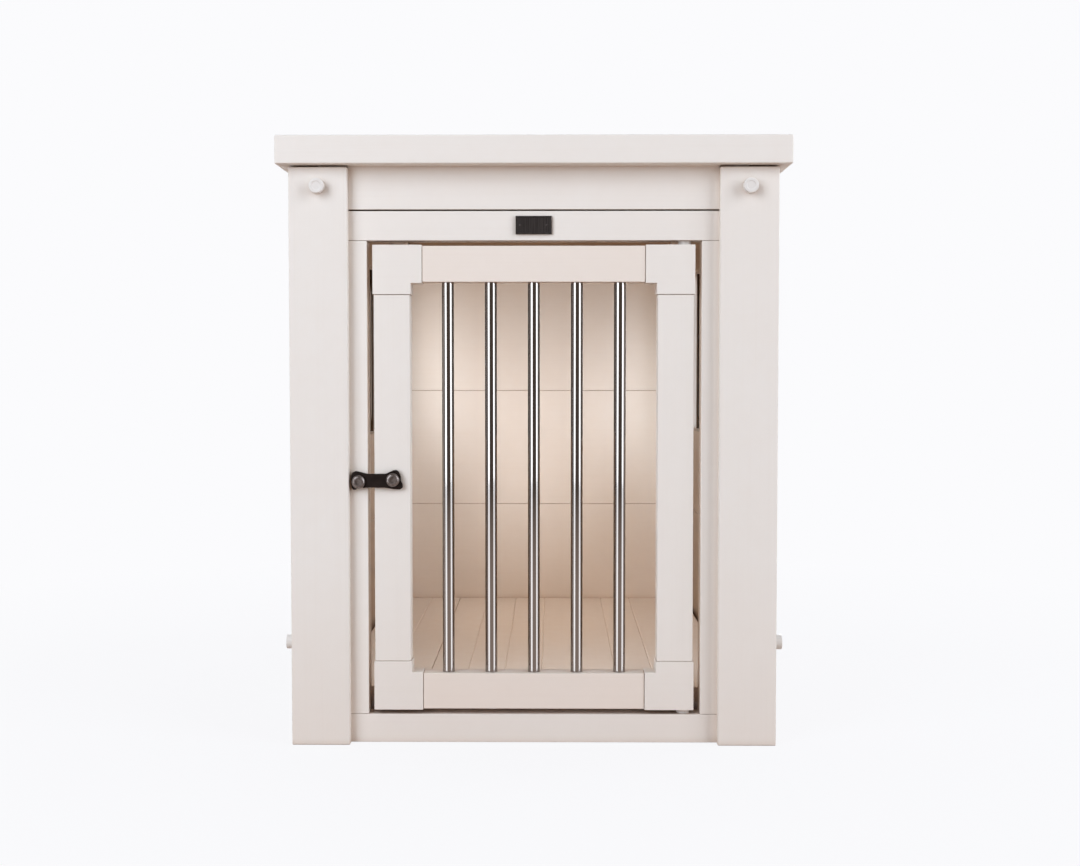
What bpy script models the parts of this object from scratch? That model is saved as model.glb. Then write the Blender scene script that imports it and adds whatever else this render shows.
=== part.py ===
"""Furniture-style rabbit hutch: a white composite cabinet with a barred, hinged front door.

Metres, +Z up. X runs to the right as one faces the door, Y runs from the door to the back, and
the origin is on the floor under the middle of the top. The door turns about a vertical pin near
its right edge, and a small hooked link on the door drops over a stud on the frame.
"""

import math

import bmesh
import bpy
from mathutils import Matrix, Vector

# Driving dimensions
TOP_WIDTH = 0.480
TOP_DEPTH = 0.630
HEIGHT = 0.573
TOP_THICKNESS = 0.0266
TOP_EDGE_WIDTH = 0.040
TOP_PANEL_EDGE = 0.0008
CLEAT_WIDTH = 0.018
CLEAT_HEIGHT = 0.020
SOCKET_DEPTH = 0.008  # of the hollow under the front edge, over the inner half of each post
SOCKET_REACH = 0.024
CLEAR = 0.0003  # gap kept between pieces that touch
OVERSHOOT = 0.002  # how far a cutter stands out of the face that it enters

POST = 0.055
POST_WALL = 0.0035
POST_FOOT = 0.006
POST_SPAN_X = 0.4585
POST_SPAN_Y = 0.608
POST_TOP_GAP = 0.0014

FACE_RECESS = 0.0093  # frames stand back this far from the posts' faces
FRAME_THICKNESS = 0.022
GROUND_GAP = 0.0008  # rails clear the floor, so the posts carry the weight
BOTTOM_RAIL_TOP = 0.0277
OPENING_LEFT = -0.1573
OPENING_RIGHT = 0.1582
OPENING_TOP = 0.4773
RAIL_TOP = 0.5048
HEADER_GROOVE = 0.0014
TONGUE = 0.006
TONGUE_DROP = 0.008
FRAME_EDGE = 0.0006

SIDE_RECESS = 0.009
SIDE_THICKNESS = 0.025
SIDE_PANEL_THICKNESS = 0.018
WINDOW_BOTTOM = 0.280
MID_RAIL_BOTTOM = 0.2525

PLANK = 0.1515
PLANK_THICKNESS = 0.014
PLANK_CHAMFER = 0.0009
PLANK_TONGUE = 0.004
BACK_PLANK_BASE = 0.0245
FLOOR_TOP = 0.049
FLOOR_THICKNESS = 0.015
FLOOR_PITCH = 0.0377
FLOOR_JOINT = 0.0445  # the joint between the middle and the right floor plank
FLOOR_FRONT_MARGIN = 0.0042  # room for the door's hinge corner to turn
FLOOR_LINE_MARGIN = 0.004  # least distance from a groove to a plank's edge
LEDGE = 0.026
BATTEN_HEIGHT = 0.020

DOOR_HALF_WIDTH = 0.1519
DOOR_BOTTOM = 0.0319
DOOR_TOP = 0.4733
DOOR_THICKNESS = 0.021
DOOR_WALL = 0.0028
STILE_WIDTH = 0.0339
DOOR_RAIL_HEIGHT = 0.0339
CORNER_WIDTH = 0.0465
CORNER_PROUD = 0.001
CORNER_LEG = 0.0360
TENON = 0.014
TENON_ROOT = 0.006
DOOR_EDGE = 0.0008
CORNER_EDGE = 0.0006

SPINDLE_RADIUS = 0.0057
SPINDLE_PITCH = 0.0408
DOOR_SPINDLES = 5
SIDE_SPINDLES = 11
SPINDLE_DEPTH = 0.012  # how far a door spindle runs into each rail
STRIP = 0.003
STRIP_WIDTH = 0.0124

HINGE_X = 0.1427
PIN_RADIUS = 0.004
PIN_DEPTH = 0.020
PIN_END_GAP = 0.002  # from a pin's end to the bottom of its seat
BUSH_RADIUS = 0.006
BUSH_DEPTH = 0.013

LATCH_PIVOT_X = -0.1330
LATCH_PIVOT_Z = 0.2518
STUD_SPACING = 0.0325
KEEPER_DROP = math.radians(3.2)  # the frame's stud lies this far round the pivot, below level
STUD_HEAD_RADIUS = 0.00635
STUD_HEAD_HEIGHT = 0.004
STUD_CHAMFER = 0.0012
STUD_NECK_RADIUS = 0.003
STUD_BASE_RADIUS = 0.005
STUD_SHANK_RADIUS = 0.002
STUD_SHANK = 0.010
LINK_THICKNESS = 0.003
LINK_STANDOFF = 0.0015
LINK_EDGE = 0.0005
SLOT_SWEEP = math.radians(24)

KNOB_RADIUS = 0.007
KNOB_HEIGHT = 0.009
KNOB_SHANK_RADIUS = 0.0025
KNOB_SHANK = 0.012
KNOB_NECK_RADIUS = 0.005
KNOB_NECK = 0.0016
KNOB_UNDERCUT = 0.0008
KNOB_CROWN = 0.0012
FRONT_KNOB_Z = 0.5266
SIDE_KNOB_Z = 0.094
SIDE_KNOB_INSET = 0.028

PLAQUE = (0.034, 0.002, 0.017)
PLAQUE_CENTRE = (0.0, 0.4915)
PLAQUE_EDGE = 0.0006

SOFT_EDGE = 0.0011
TOP_EDGE_ROUND = 0.0013
ROUND_SEGMENTS = 16

# Levels and planes worked out from the dimensions above
TOP_UNDERSIDE = HEIGHT - TOP_THICKNESS
POST_OUT_X = POST_SPAN_X / 2
POST_IN_X = POST_OUT_X - POST
POST_OUT_Y = POST_SPAN_Y / 2
POST_IN_Y = POST_OUT_Y - POST
FRAME_FACE = -(POST_OUT_Y - FACE_RECESS)
FRAME_BACK = FRAME_FACE + FRAME_THICKNESS
BACK_FACE = POST_OUT_Y - FACE_RECESS
SIDE_OUT = POST_OUT_X - SIDE_RECESS
SIDE_IN = SIDE_OUT - SIDE_THICKNESS
DOOR_MID_Y = FRAME_FACE + DOOR_THICKNESS / 2
LATCH_PIVOT = (LATCH_PIVOT_X, FRAME_FACE, LATCH_PIVOT_Z)
LATCH_KEEPER = (
    LATCH_PIVOT_X - STUD_SPACING * math.cos(KEEPER_DROP), FRAME_FACE,
    LATCH_PIVOT_Z - STUD_SPACING * math.sin(KEEPER_DROP),
)
SPAN_X = POST_IN_X - CLEAR  # half the width left between the posts
SPAN_Y = POST_IN_Y - CLEAR
FULL_TOP = TOP_UNDERSIDE - CLEAR
FLOOR_UNDERSIDE = FLOOR_TOP - FLOOR_THICKNESS


# Tools ---------------------------------------------------------------------------------------

def clear_scene():
    for item in list(bpy.data.objects):
        bpy.data.objects.remove(item, do_unlink=True)


def make_material(name, colour, roughness, metallic=0.0):
    material = bpy.data.materials.new(name)
    material.use_nodes = True
    shader = material.node_tree.nodes["Principled BSDF"]
    shader.inputs["Base Color"].default_value = (*colour, 1.0)
    shader.inputs["Roughness"].default_value = roughness
    shader.inputs["Metallic"].default_value = metallic
    return material


def add_piece(name, shape, position, colour, parent=None):
    """Turn a bmesh, built about its own origin, into a named object at a world position."""
    bmesh.ops.recalc_face_normals(shape, faces=shape.faces)
    mesh = bpy.data.meshes.new(name)
    shape.to_mesh(mesh)
    shape.free()
    mesh.materials.append(colour)
    piece = bpy.data.objects.new(name, mesh)
    bpy.context.collection.objects.link(piece)
    piece.location = Vector(position)
    if parent:
        piece.parent = parent
        piece.location -= parent.location
    return piece


def round_edges(piece, width, segments=2):
    bevel = piece.modifiers.new("rounding", "BEVEL")
    bevel.width = width
    bevel.segments = segments
    bevel.limit_method = "ANGLE"


def combine(piece, other, operation):
    """Cut another shape out of a piece, or join it on. The other shape is only a guide."""
    other.hide_render = True
    other.display_type = "WIRE"
    boolean = piece.modifiers.new(operation.lower(), "BOOLEAN")
    boolean.operation = operation
    boolean.solver = "EXACT"
    boolean.object = other


def block(name, low, high, colour, parent=None, edge=SOFT_EDGE):
    low = Vector(low)
    size = Vector(high) - low
    shape = bmesh.new()
    bmesh.ops.create_cube(shape, size=1.0)
    bmesh.ops.scale(shape, vec=size, verts=shape.verts)
    piece = add_piece(name, shape, low + size / 2, colour, parent)
    if edge:
        round_edges(piece, edge)
    return piece


def prism(name, axis, outline, low, high, colour, parent=None, about=(0, 0, 0)):
    """Extrude an outline, given in the two axes other than this one, from low to high."""
    about = Vector(about)
    shape = bmesh.new()
    corners = []
    for u, v in outline:
        point = {"X": (low, u, v), "Y": (u, low, v), "Z": (u, v, low)}[axis]
        corners.append(shape.verts.new(Vector(point) - about))
    end = shape.faces.new(corners)
    run = bmesh.ops.extrude_face_region(shape, geom=[end])
    moved = [item for item in run["geom"] if isinstance(item, bmesh.types.BMVert)]
    step = Vector([high - low if axis == letter else 0.0 for letter in "XYZ"])
    bmesh.ops.translate(shape, vec=step, verts=moved)
    return add_piece(name, shape, about, colour, parent)


def turned(name, direction, profile, position, colour, parent=None):
    """Spin a profile of (radius, height) points about an axis that runs along direction."""
    shape = bmesh.new()
    points = [shape.verts.new((radius, 0, height)) for radius, height in profile]
    edges = [shape.edges.new(pair) for pair in zip(points, points[1:])]
    bmesh.ops.spin(
        shape, geom=points + edges, cent=(0, 0, 0), axis=(0, 0, 1),
        angle=math.tau, steps=ROUND_SEGMENTS, use_duplicate=False,
    )
    bmesh.ops.remove_doubles(shape, verts=shape.verts, dist=1e-6)
    turn = Vector((0, 0, 1)).rotation_difference(Vector(direction)).to_matrix()
    bmesh.ops.rotate(shape, cent=(0, 0, 0), matrix=turn, verts=shape.verts)
    piece = add_piece(name, shape, position, colour, parent)
    piece.data.shade_smooth()
    piece.data.set_sharp_from_angle(angle=math.radians(35))
    return piece


def rod_profile(radius, low, high):
    return [(0, low), (radius, low), (radius, high), (0, high)]


def hole(piece, direction, radius, low, high, position):
    """Bore a round hole along direction, from low to high, measured from position."""
    cutter = turned(
        f"{piece.name}_hole_cutter", direction, rod_profile(radius, low, high), position,
        piece.data.materials[0], piece.parent,
    )
    combine(piece, cutter, "DIFFERENCE")


def side_name(side):
    return "right" if side > 0 else "left"


def ordered(a, b):
    return min(a, b), max(a, b)


# Cabinet -------------------------------------------------------------------------------------

def build_top(white):
    half_x = TOP_WIDTH / 2
    half_y = TOP_DEPTH / 2
    inner_x = half_x - TOP_EDGE_WIDTH
    inner_y = half_y - TOP_EDGE_WIDTH
    for end, place in ((-1, "front"), (1, "rear")):
        near, far = ordered(end * inner_y, end * half_y)
        edge = block(
            f"top_edge_{place}", (-half_x, near, TOP_UNDERSIDE), (half_x, far, HEIGHT),
            white, edge=TOP_EDGE_ROUND,
        )
        if end < 0:
            cut_post_sockets(edge, white)
    for side in (-1, 1):
        near, far = ordered(side * (inner_x + CLEAR), side * half_x)
        block(
            f"top_edge_{side_name(side)}",
            (near, -inner_y + CLEAR, TOP_UNDERSIDE), (far, inner_y - CLEAR, HEIGHT),
            white, edge=TOP_EDGE_ROUND,
        )
        near, far = ordered(side * (SIDE_IN - CLEAR - CLEAT_WIDTH), side * (SIDE_IN - CLEAR))
        block(
            f"top_cleat_{side_name(side)}",
            (near, -SPAN_Y, FULL_TOP - CLEAT_HEIGHT), (far, SPAN_Y, FULL_TOP), white,
        )
    block(
        "top_panel", (-inner_x, -inner_y + CLEAR, TOP_UNDERSIDE),
        (inner_x, inner_y - CLEAR, HEIGHT), white, edge=TOP_PANEL_EDGE,
    )


def cut_post_sockets(edge, white):
    """A shallow socket under the front edge, over the inner half of each front post."""
    for side in (-1, 1):
        near, far = ordered(side * POST_IN_X, side * (POST_IN_X + POST / 2))
        cutter = block(
            f"socket_cutter_{side_name(side)}",
            (near, -POST_OUT_Y, TOP_UNDERSIDE - SOCKET_DEPTH),
            (far, -POST_OUT_Y + SOCKET_REACH, TOP_UNDERSIDE + SOCKET_DEPTH), white, edge=0,
        )
        combine(edge, cutter, "DIFFERENCE")


def build_posts(white):
    for end, place in ((-1, "front"), (1, "rear")):
        for side in (-1, 1):
            x_low, x_high = ordered(side * POST_IN_X, side * POST_OUT_X)
            y_low, y_high = ordered(end * POST_IN_Y, end * POST_OUT_Y)
            name = f"post_{place}_{side_name(side)}"
            top = TOP_UNDERSIDE - POST_TOP_GAP
            post = block(name, (x_low, y_low, 0), (x_high, y_high, top), white)
            bore = block(
                f"{name}_bore_cutter",
                (x_low + POST_WALL, y_low + POST_WALL, POST_FOOT),
                (x_high - POST_WALL, y_high - POST_WALL, HEIGHT), white, edge=0,
            )
            combine(post, bore, "DIFFERENCE")
            if end < 0:
                fit_thumb_screws(post, side)


def fit_thumb_screws(post, side):
    """One thumb screw through the post's front wall near the top, one through its outer wall."""
    white = bpy.data.materials["knob_plastic"]
    places = {
        "front": ((0, -1, 0), (side * (POST_IN_X + POST / 2), -POST_OUT_Y, FRONT_KNOB_Z)),
        "side": ((side, 0, 0), (side * POST_OUT_X, -POST_OUT_Y + SIDE_KNOB_INSET, SIDE_KNOB_Z)),
    }
    profile = [
        (0, -KNOB_SHANK), (KNOB_SHANK_RADIUS, -KNOB_SHANK), (KNOB_SHANK_RADIUS, CLEAR),
        (KNOB_NECK_RADIUS, CLEAR), (KNOB_NECK_RADIUS, KNOB_NECK),
        (KNOB_RADIUS, KNOB_NECK + KNOB_UNDERCUT), (KNOB_RADIUS, KNOB_HEIGHT - KNOB_CROWN),
        (KNOB_RADIUS - KNOB_CROWN, KNOB_HEIGHT), (0, KNOB_HEIGHT),
    ]
    for place, (direction, position) in places.items():
        hole(post, direction, KNOB_SHANK_RADIUS + CLEAR, -POST_WALL * 2, POST_WALL, position)
        turned(f"thumb_screw_{place}_{side_name(side)}", direction, profile, position, white)


def build_front_frame(white):
    rail_low = OPENING_TOP
    rebate = FRAME_BACK - TONGUE - CLEAR
    header_low = RAIL_TOP + HEADER_GROOVE
    shelf = header_low - TONGUE_DROP
    rail = prism(
        "frame_rail_top", "X",
        [(FRAME_FACE, rail_low), (FRAME_BACK, rail_low), (FRAME_BACK, shelf - CLEAR),
         (rebate, shelf - CLEAR), (rebate, RAIL_TOP), (FRAME_FACE, RAIL_TOP)],
        -SPAN_X, SPAN_X, white, about=(0, FRAME_FACE, rail_low),
    )
    round_edges(rail, FRAME_EDGE, 1)
    header = prism(
        "header_board", "X",
        [(FRAME_FACE, header_low), (FRAME_BACK - TONGUE, header_low), (FRAME_BACK - TONGUE, shelf),
         (FRAME_BACK, shelf), (FRAME_BACK, FULL_TOP), (FRAME_FACE, FULL_TOP)],
        -SPAN_X, SPAN_X, white, about=(0, FRAME_FACE, header_low),
    )
    round_edges(header, FRAME_EDGE, 1)
    foot = block(
        "frame_rail_bottom", (-SPAN_X, FRAME_FACE, GROUND_GAP),
        (SPAN_X, FRAME_BACK, BOTTOM_RAIL_TOP), white, edge=FRAME_EDGE,
    )
    for side, inner in ((-1, OPENING_LEFT), (1, OPENING_RIGHT)):
        x_low, x_high = ordered(inner, side * SPAN_X)
        stile = block(
            f"frame_stile_{side_name(side)}",
            (x_low, FRAME_FACE, BOTTOM_RAIL_TOP + CLEAR), (x_high, FRAME_BACK, rail_low - CLEAR),
            white, edge=FRAME_EDGE,
        )
        if side < 0:
            hole(
                stile, (0, 1, 0), STUD_SHANK_RADIUS + CLEAR, -OVERSHOOT, STUD_SHANK + CLEAR,
                LATCH_KEEPER,
            )
    fit_hinge_bushes(rail, foot)
    build_plaque()


def fit_hinge_bushes(rail, foot):
    """A collared bush in the rail above the door and one in the rail below it."""
    bush_plastic = bpy.data.materials["bush_plastic"]
    seats = (
        ("top", 1, rail, OPENING_TOP, OPENING_TOP - DOOR_TOP),
        ("bottom", -1, foot, BOTTOM_RAIL_TOP, DOOR_BOTTOM - BOTTOM_RAIL_TOP),
    )
    bore = PIN_RADIUS + CLEAR
    for place, up, seat, level, door_gap in seats:
        centre = (HINGE_X, DOOR_MID_Y, level)
        direction = (0, 0, up)
        hole(seat, direction, BUSH_RADIUS + CLEAR, -OVERSHOOT, BUSH_DEPTH + CLEAR, centre)
        profile = [
            (bore, CLEAR - door_gap), (BUSH_RADIUS, CLEAR - door_gap),
            (BUSH_RADIUS, BUSH_DEPTH), (bore, BUSH_DEPTH), (bore, CLEAR - door_gap),
        ]
        turned(f"hinge_bush_{place}", direction, profile, centre, bush_plastic)


def build_plaque():
    dark = bpy.data.materials["plaque_metal"]
    width, depth, height = PLAQUE
    x, z = PLAQUE_CENTRE
    back = FRAME_FACE - CLEAR
    block(
        "name_plaque", (x - width / 2, back - depth, z - height / 2),
        (x + width / 2, back, z + height / 2), dark, edge=PLAQUE_EDGE,
    )


def build_side(side, white, steel):
    """One flank: three rails between the posts, a solid lower panel and a barred window."""
    word = side_name(side)
    x_low, x_high = ordered(side * SIDE_IN, side * SIDE_OUT)
    groove_depth = STRIP + CLEAR * 2
    levels = {
        "bottom": (GROUND_GAP, BOTTOM_RAIL_TOP, None),
        "middle": (MID_RAIL_BOTTOM, WINDOW_BOTTOM, WINDOW_BOTTOM),
        "top": (OPENING_TOP, FULL_TOP, OPENING_TOP),
    }
    middle_x = side * (SIDE_IN + SIDE_OUT) / 2
    for place, (low, high, window_edge) in levels.items():
        rail = block(
            f"side_rail_{place}_{word}", (x_low, -SPAN_Y, low), (x_high, SPAN_Y, high), white,
        )
        if window_edge:
            half = STRIP_WIDTH / 2 + CLEAR
            cutter = block(
                f"strip_groove_cutter_{place}_{word}",
                (middle_x - half, -TOP_DEPTH, window_edge - groove_depth),
                (middle_x + half, TOP_DEPTH, window_edge + groove_depth), white, edge=0,
            )
            combine(rail, cutter, "DIFFERENCE")
    build_side_panel(side, middle_x, white)
    build_side_grille(word, middle_x, groove_depth, steel)


def build_side_panel(side, middle_x, white):
    """The lower panel, with one fine plank line on both faces."""
    low = BOTTOM_RAIL_TOP + CLEAR
    high = MID_RAIL_BOTTOM - CLEAR
    line = BACK_PLANK_BASE + PLANK
    half = SIDE_PANEL_THICKNESS / 2
    outline = [(middle_x - half, low), (middle_x + half, low)]
    outline += [(middle_x + half - d, line + e) for d, e in groove_points()]
    outline += [(middle_x + half, high), (middle_x - half, high)]
    outline += [(middle_x - half + d, line - e) for d, e in groove_points()]
    prism(
        f"side_panel_{side_name(side)}", "Y", outline, -SPAN_Y, SPAN_Y, white,
        about=(middle_x, 0, low),
    )


def groove_points():
    """A V groove as (depth, position along the face) points."""
    return [(0, -PLANK_CHAMFER), (PLANK_CHAMFER, 0), (0, PLANK_CHAMFER)]


def build_side_grille(word, middle_x, groove_depth, steel):
    """Spindles welded to a flat strip at each end; each strip lies in its rail's groove."""
    low = WINDOW_BOTTOM - groove_depth + CLEAR
    high = OPENING_TOP + groove_depth - CLEAR
    half = STRIP_WIDTH / 2
    half_y = SPAN_Y - CLEAR
    grille = block(
        f"side_grille_{word}", (middle_x - half, -half_y, low), (middle_x + half, half_y, low + STRIP),
        steel, edge=0,
    )
    upper = block(
        f"grille_strip_guide_{word}", (middle_x - half, -half_y, high - STRIP),
        (middle_x + half, half_y, high), steel, edge=0,
    )
    bars = bmesh.new()
    for index in range(SIDE_SPINDLES):
        offset = (index - (SIDE_SPINDLES - 1) / 2) * SPINDLE_PITCH
        bmesh.ops.create_cone(
            bars, cap_ends=True, segments=12, radius1=SPINDLE_RADIUS, radius2=SPINDLE_RADIUS,
            depth=high - low - STRIP, matrix=Matrix.Translation((0, offset, 0)),
        )
    rods = add_piece(f"grille_rods_guide_{word}", bars, (middle_x, 0, (low + high) / 2), steel)
    combine(grille, rods, "UNION")
    combine(grille, upper, "UNION")


def plank_outline(low, high, face, thickness, tongue=True, slot=True):
    """A plank on edge as (depth, height) points: chamfered, with a slot below and a tongue above."""
    c = PLANK_CHAMFER
    back = face + thickness
    third = thickness / 3
    points = [(face + c, low)]
    if slot:
        depth = PLANK_TONGUE + CLEAR
        points += [(face + third - CLEAR, low), (face + third - CLEAR, low + depth),
                   (back - third + CLEAR, low + depth), (back - third + CLEAR, low)]
    points += [(back - c, low), (back, low + c), (back, high - c), (back - c, high)]
    if tongue:
        points += [(back - third, high), (back - third, high + PLANK_TONGUE),
                   (face + third, high + PLANK_TONGUE), (face + third, high)]
    points += [(face + c, high), (face, high - c), (face, low + c)]
    return points


def build_back(white):
    face = BACK_FACE - PLANK_THICKNESS
    inner = face - LEDGE
    shelf = FLOOR_UNDERSIDE - CLEAR
    seat = BACK_PLANK_BASE - CLEAR
    prism(
        "back_rail_bottom", "X",
        [(inner, GROUND_GAP), (BACK_FACE, GROUND_GAP), (BACK_FACE, seat), (face - CLEAR, seat),
         (face - CLEAR, shelf), (inner, shelf)],
        -SPAN_X, SPAN_X, white, about=(0, face, seat),
    )
    low = BACK_PLANK_BASE
    number = 1
    while low < FULL_TOP:
        high = min(low + PLANK - CLEAR, FULL_TOP)
        outline = plank_outline(
            low, high, face, PLANK_THICKNESS, tongue=high < FULL_TOP, slot=number > 1,
        )
        prism(
            f"back_plank_{number}", "X", outline, -SPAN_X, SPAN_X, white, about=(0, face, low),
        )
        low += PLANK
        number += 1


def build_floor(white):
    """Three planks that run front to back, V-grooved on top and notched round the posts."""
    front = FRAME_BACK + FLOOR_FRONT_MARGIN
    rear = BACK_FACE - PLANK_THICKNESS - CLEAR
    width = 4 * FLOOR_PITCH
    wall = SIDE_IN - CLEAR
    joints = [-wall, FLOOR_JOINT - width, FLOOR_JOINT, wall]
    for index, place in enumerate(("left", "centre", "right")):
        low = joints[index] + CLEAR * (index > 0)
        high = joints[index + 1]
        origin = FLOOR_JOINT + (index - 2) * width
        lines = [origin + step * FLOOR_PITCH for step in (1, 2, 3)]
        outline = [(low, FLOOR_UNDERSIDE), (high, FLOOR_UNDERSIDE)]
        outline += [(high, FLOOR_TOP - PLANK_CHAMFER), (high - PLANK_CHAMFER, FLOOR_TOP)]
        for line in reversed(lines):
            if low + FLOOR_LINE_MARGIN < line < high - FLOOR_LINE_MARGIN:
                outline += [(line - e, FLOOR_TOP - d) for d, e in groove_points()]
        outline += [(low + PLANK_CHAMFER, FLOOR_TOP), (low, FLOOR_TOP - PLANK_CHAMFER)]
        plank = prism(
            f"floor_plank_{place}", "Y", outline, front, rear, white,
            about=(low, 0, FLOOR_UNDERSIDE),
        )
        if place != "centre":
            notch_round_posts(plank, 1 if place == "right" else -1, white)
    block(
        "floor_batten_front", (-wall, -SPAN_Y, FLOOR_UNDERSIDE - CLEAR - BATTEN_HEIGHT),
        (wall, -SPAN_Y + LEDGE, FLOOR_UNDERSIDE - CLEAR), white,
    )


def notch_round_posts(plank, side, white):
    for end, place in ((-1, "front"), (1, "rear")):
        x_low, x_high = ordered(side * SPAN_X, side * POST_OUT_X)
        y_low, y_high = ordered(end * SPAN_Y, end * POST_OUT_Y)
        cutter = block(
            f"{plank.name}_notch_cutter_{place}", (x_low, y_low, 0), (x_high, y_high, HEIGHT),
            white, edge=0,
        )
        combine(plank, cutter, "DIFFERENCE")


# Door ----------------------------------------------------------------------------------------

def build_door(white, steel):
    hinge = bpy.data.objects.new("door_hinge_axis", None)
    bpy.context.collection.objects.link(hinge)
    hinge.location = (HINGE_X, DOOR_MID_Y, (DOOR_BOTTOM + DOOR_TOP) / 2)
    inset = CORNER_PROUD
    stile_low = DOOR_BOTTOM + CORNER_WIDTH + CLEAR
    stile_high = DOOR_TOP - CORNER_WIDTH - CLEAR
    for side in (-1, 1):
        outer = side * (DOOR_HALF_WIDTH - inset)
        x_low, x_high = ordered(outer - side * STILE_WIDTH, outer)
        stile = hollow_member(
            f"door_stile_{side_name(side)}", (x_low, stile_low), (x_high, stile_high), 2, white, hinge,
        )
        if side < 0:
            hole(stile, (0, 1, 0), STUD_SHANK_RADIUS + CLEAR, -OVERSHOOT, DOOR_WALL * 2, LATCH_PIVOT)
    rail_end = DOOR_HALF_WIDTH - CORNER_WIDTH - CLEAR
    for place, up, outer in (("top", 1, DOOR_TOP - inset), ("bottom", -1, DOOR_BOTTOM + inset)):
        inner = outer - up * DOOR_RAIL_HEIGHT
        z_low, z_high = ordered(outer, inner)
        rail = hollow_member(
            f"door_rail_{place}", (-rail_end, z_low), (rail_end, z_high), 0, white, hinge,
        )
        for x in spindle_places():
            hole(
                rail, (0, 0, up), SPINDLE_RADIUS + CLEAR, -OVERSHOOT, DOOR_WALL * 2,
                (x, DOOR_MID_Y, inner),
            )
    build_spindles(steel, hinge)
    for side in (-1, 1):
        for up in (-1, 1):
            build_corner(side, up, white, hinge)
    build_pins(steel, hinge)
    return hinge


def spindle_places():
    return [(index - (DOOR_SPINDLES - 1) / 2) * SPINDLE_PITCH for index in range(DOOR_SPINDLES)]


def hollow_member(name, low, high, along, colour, parent):
    """A rectangular tube of the door's thickness, open at both ends; along is its long axis."""
    front = FRAME_FACE
    back = FRAME_FACE + DOOR_THICKNESS
    piece = block(name, (low[0], front, low[1]), (high[0], back, high[1]), colour, parent, DOOR_EDGE)
    inner_low = Vector((low[0], front, low[1])) + Vector((DOOR_WALL,) * 3)
    inner_high = Vector((high[0], back, high[1])) - Vector((DOOR_WALL,) * 3)
    inner_low[along] -= DOOR_WALL * 2
    inner_high[along] += DOOR_WALL * 2
    cutter = block(f"{name}_bore_cutter", inner_low, inner_high, colour, parent, 0)
    combine(piece, cutter, "DIFFERENCE")
    return piece


def build_spindles(steel, hinge):
    low = DOOR_BOTTOM + CORNER_PROUD + DOOR_RAIL_HEIGHT - SPINDLE_DEPTH
    high = DOOR_TOP - CORNER_PROUD - DOOR_RAIL_HEIGHT + SPINDLE_DEPTH
    half = (high - low) / 2
    profile = rod_profile(SPINDLE_RADIUS, -half, half)
    for index, x in enumerate(spindle_places()):
        turned(
            f"door_spindle_{index + 1}", (0, 0, 1), profile, (x, DOOR_MID_Y, low + half), steel,
            hinge,
        )


def build_corner(side, up, white, hinge):
    """An L-shaped connector that wraps one corner, with a tenon into the stile and the rail."""
    name = f"door_corner_{'top' if up > 0 else 'bottom'}_{side_name(side)}"
    x = side * DOOR_HALF_WIDTH
    z = DOOR_TOP if up > 0 else DOOR_BOTTOM
    front = FRAME_FACE - CORNER_PROUD
    back = FRAME_FACE + DOOR_THICKNESS + CORNER_PROUD
    outline = [
        (x, z), (x - side * CORNER_WIDTH, z), (x - side * CORNER_WIDTH, z - up * CORNER_LEG),
        (x - side * CORNER_LEG, z - up * CORNER_LEG), (x - side * CORNER_LEG, z - up * CORNER_WIDTH),
        (x, z - up * CORNER_WIDTH),
    ]
    centre = (x, DOOR_MID_Y, z)
    corner = prism(name, "Y", outline, front, back, white, hinge, centre)
    round_edges(corner, CORNER_EDGE)
    wall = DOOR_WALL + CLEAR
    plug_y = (FRAME_FACE + wall, FRAME_FACE + DOOR_THICKNESS - wall)
    stile = x - side * CORNER_PROUD
    rail = z - up * CORNER_PROUD
    tenons = {
        "stile": ((stile - side * wall, stile - side * (STILE_WIDTH - wall)),
                  (z - up * (CORNER_WIDTH - TENON_ROOT), z - up * (CORNER_WIDTH + TENON))),
        "rail": ((x - side * (CORNER_WIDTH - TENON_ROOT), x - side * (CORNER_WIDTH + TENON)),
                 (rail - up * wall, rail - up * (DOOR_RAIL_HEIGHT - wall))),
    }
    for place, (xs, zs) in tenons.items():
        x_low, x_high = ordered(*xs)
        z_low, z_high = ordered(*zs)
        tenon = block(
            f"{name}_{place}_tenon", (x_low, plug_y[0], z_low), (x_high, plug_y[1], z_high),
            white, hinge, 0,
        )
        combine(corner, tenon, "UNION")
    if side > 0:
        pin = (HINGE_X, DOOR_MID_Y, z)
        hole(corner, (0, 0, -up), PIN_RADIUS + CLEAR, -OVERSHOOT, PIN_DEPTH + CLEAR, pin)


def build_pins(steel, hinge):
    """A plain pin in each hinge-side corner, standing out into its bush in the frame."""
    for place, up, level in (("top", 1, DOOR_TOP), ("bottom", -1, DOOR_BOTTOM)):
        out = abs((OPENING_TOP if up > 0 else BOTTOM_RAIL_TOP) - level) + BUSH_DEPTH - PIN_END_GAP
        profile = rod_profile(PIN_RADIUS, -PIN_DEPTH, out)
        turned(
            f"hinge_pin_{place}", (0, 0, up), profile, (HINGE_X, DOOR_MID_Y, level), steel, hinge,
        )


# Latch ---------------------------------------------------------------------------------------

def stud_profile():
    """A stud that screws into the face behind it: shank, base, neck and a domed round head."""
    neck_end = LINK_STANDOFF + LINK_THICKNESS + CLEAR
    base = LINK_STANDOFF - CLEAR
    top = neck_end + STUD_HEAD_HEIGHT
    return [
        (0, -STUD_SHANK), (STUD_SHANK_RADIUS, -STUD_SHANK), (STUD_SHANK_RADIUS, CLEAR),
        (STUD_BASE_RADIUS, CLEAR), (STUD_BASE_RADIUS, base), (STUD_NECK_RADIUS, base),
        (STUD_NECK_RADIUS, neck_end), (STUD_HEAD_RADIUS, neck_end),
        (STUD_HEAD_RADIUS, top - STUD_CHAMFER), (STUD_HEAD_RADIUS - STUD_CHAMFER, top), (0, top),
    ]


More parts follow.
